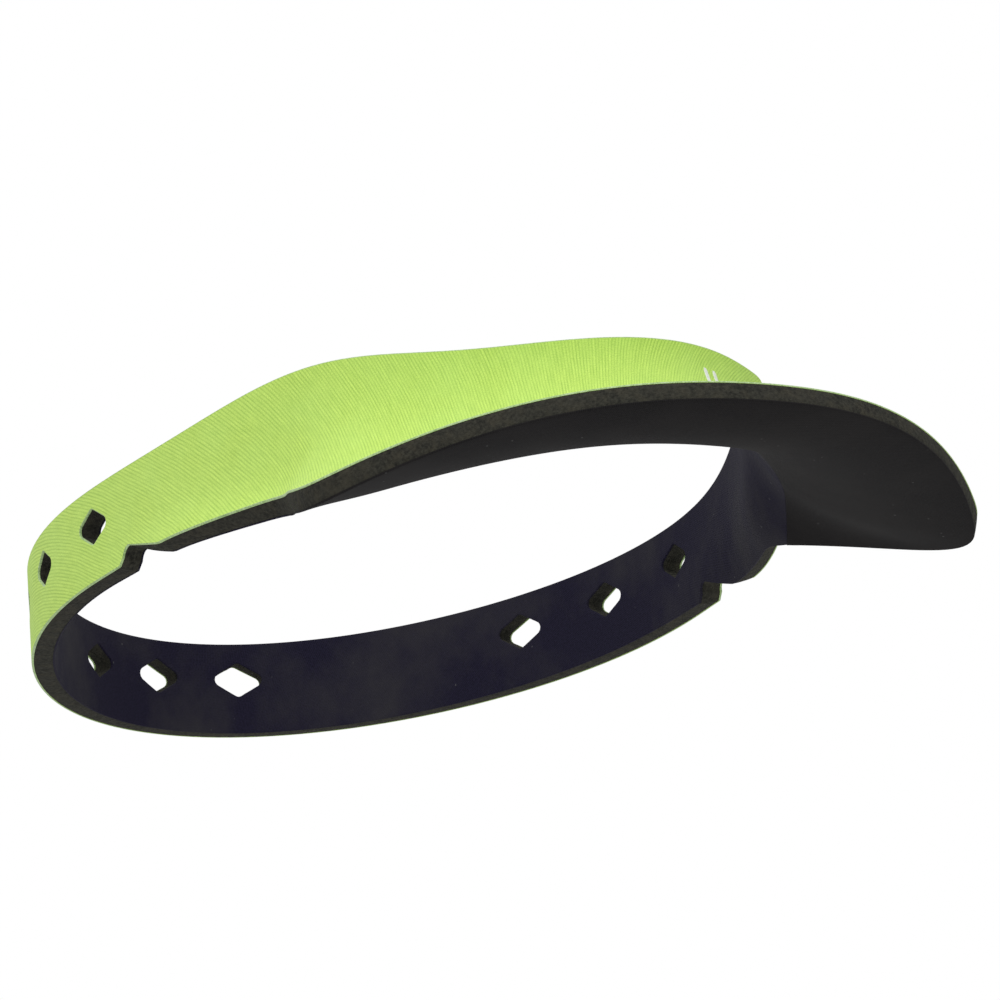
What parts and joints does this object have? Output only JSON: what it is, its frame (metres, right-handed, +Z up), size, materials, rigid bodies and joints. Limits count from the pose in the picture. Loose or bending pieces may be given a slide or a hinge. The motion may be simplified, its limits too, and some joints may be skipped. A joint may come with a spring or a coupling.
{
  "type": "foam sun visor headband",
  "caption": "One-piece foam sun visor headband: a narrow closed head loop with diamond vent slots that folds out into a curled brim at the front.",
  "frame": {"origin": "bottom centre of the bounding box, on the surface the visor rests on", "axes": "+Z up; -Y the way the wearer faces, towards the brim's front edge; +X towards the wearer's left side"},
  "size_m": [0.1434, 0.2466, 0.0378],
  "materials": {
    "outer_fabric": "lime green fine-ribbed polyester knit, matt",
    "foam_core": "charcoal closed-cell foam, matt, with a fine cut grain",
    "band_lining": "navy-black smooth jersey, matt",
    "brim_lining": "charcoal-black smooth jersey, matt",
    "forehead_print": "white heat-transfer film, matt"
  },
  "bodies": {
    "root": {"outer_fabric": "outer_fabric", "foam_core": "foam_core", "band_lining": "band_lining", "brim_lining": "brim_lining", "forehead_print": "forehead_print"}
  },
  "joints": []
}
